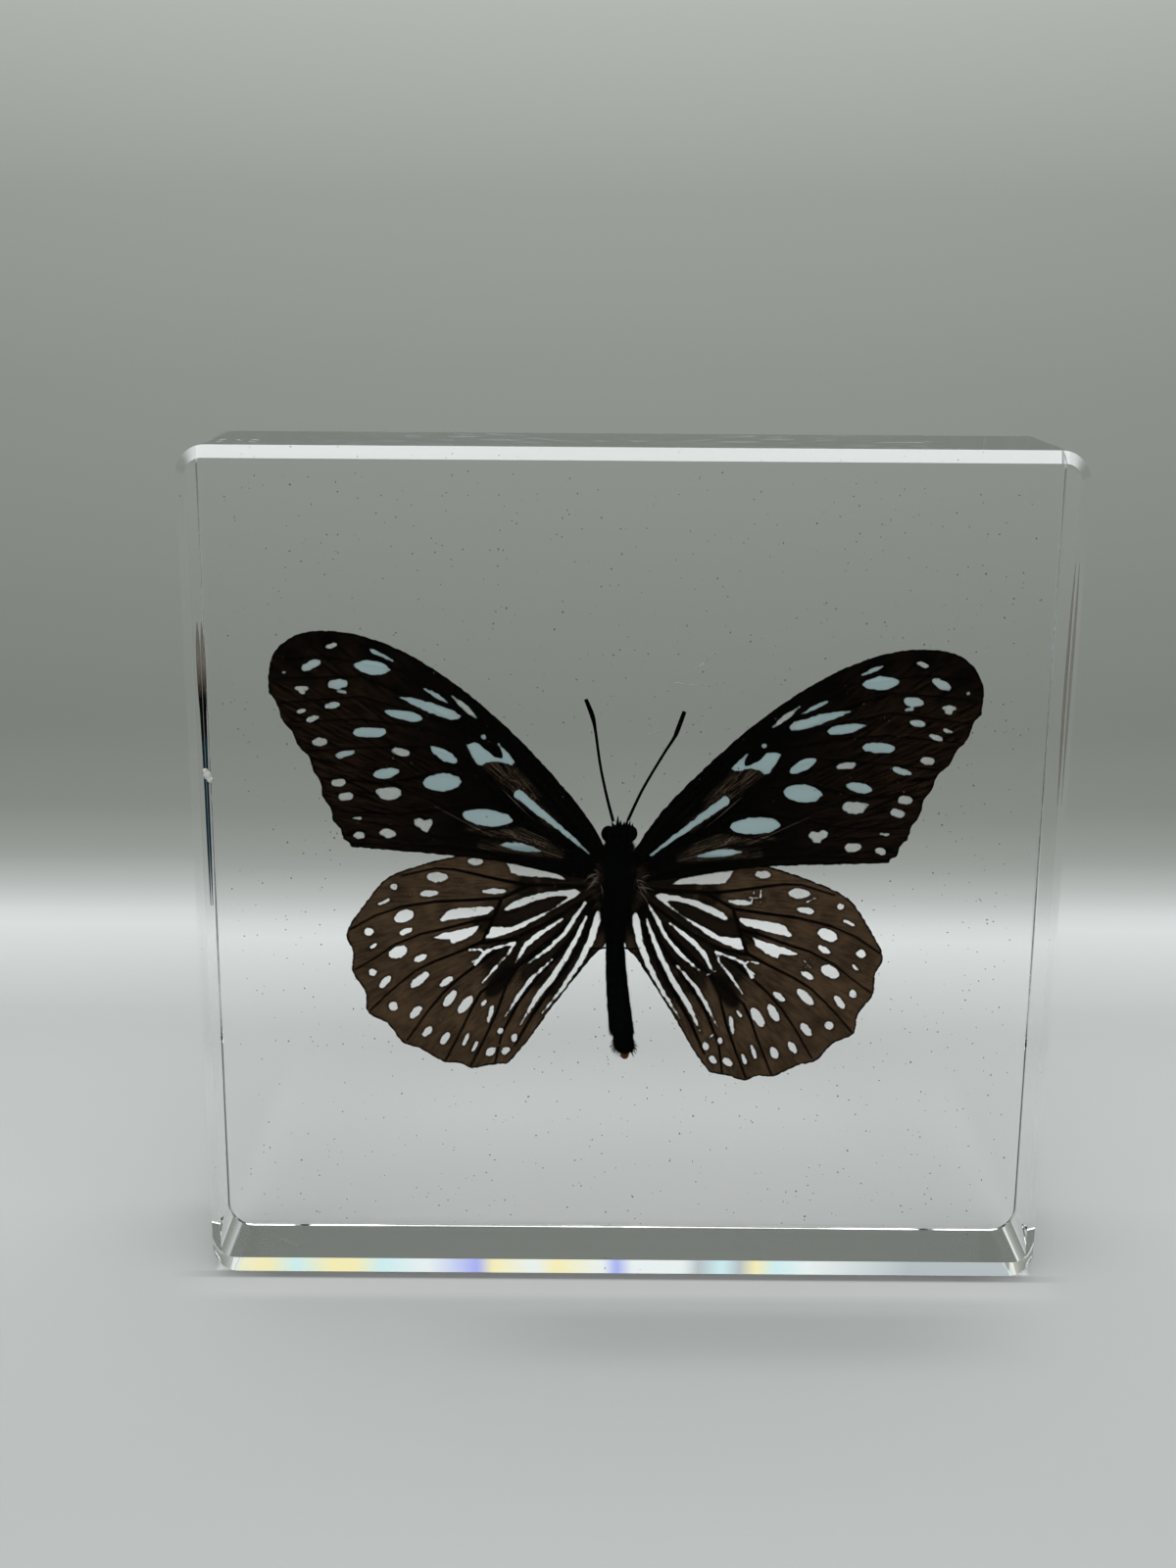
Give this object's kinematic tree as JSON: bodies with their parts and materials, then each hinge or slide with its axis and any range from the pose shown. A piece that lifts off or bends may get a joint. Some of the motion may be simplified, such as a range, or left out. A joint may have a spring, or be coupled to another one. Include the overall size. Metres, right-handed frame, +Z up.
{
  "type": "butterfly specimen in a clear cast block",
  "caption": "Spread butterfly with pale blue spots on dark wings, sealed in a clear square resin block with rounded edges that stands on its lower face.",
  "frame": {"origin": "middle of the bottom face the block stands on", "axes": "+Z up, -Y towards the front, where the butterfly's upper side shows, and +X to the right seen from the front"},
  "size_m": [0.1112, 0.022, 0.1106],
  "materials": {
    "clear_resin": "polished water-clear cast resin, refractive index about 1.49, with fine dust specks and a few hairline marks",
    "forewing_scales": "matt near-black wing scales, dark brown towards the outer margin, with thin pale blue translucent spots and streaks",
    "hindwing_scales": "matt warm brown wing scales with black veins and margin, pale blue-white spots and cream streaks, a little rubbed",
    "body_fur": "matt black fur with a few pale tufts and an orange-brown tail tip",
    "antenna_horn": "dark brown-black, slightly satin"
  },
  "bodies": {
    "root": {"resin_block_front": "clear_resin", "resin_block_back": "clear_resin", "butterfly_body": "body_fur", "forewing_left": "forewing_scales", "forewing_right": "forewing_scales", "hindwing_left": "hindwing_scales", "hindwing_right": "hindwing_scales", "antenna_left": "antenna_horn", "antenna_right": "antenna_horn"}
  },
  "joints": []
}
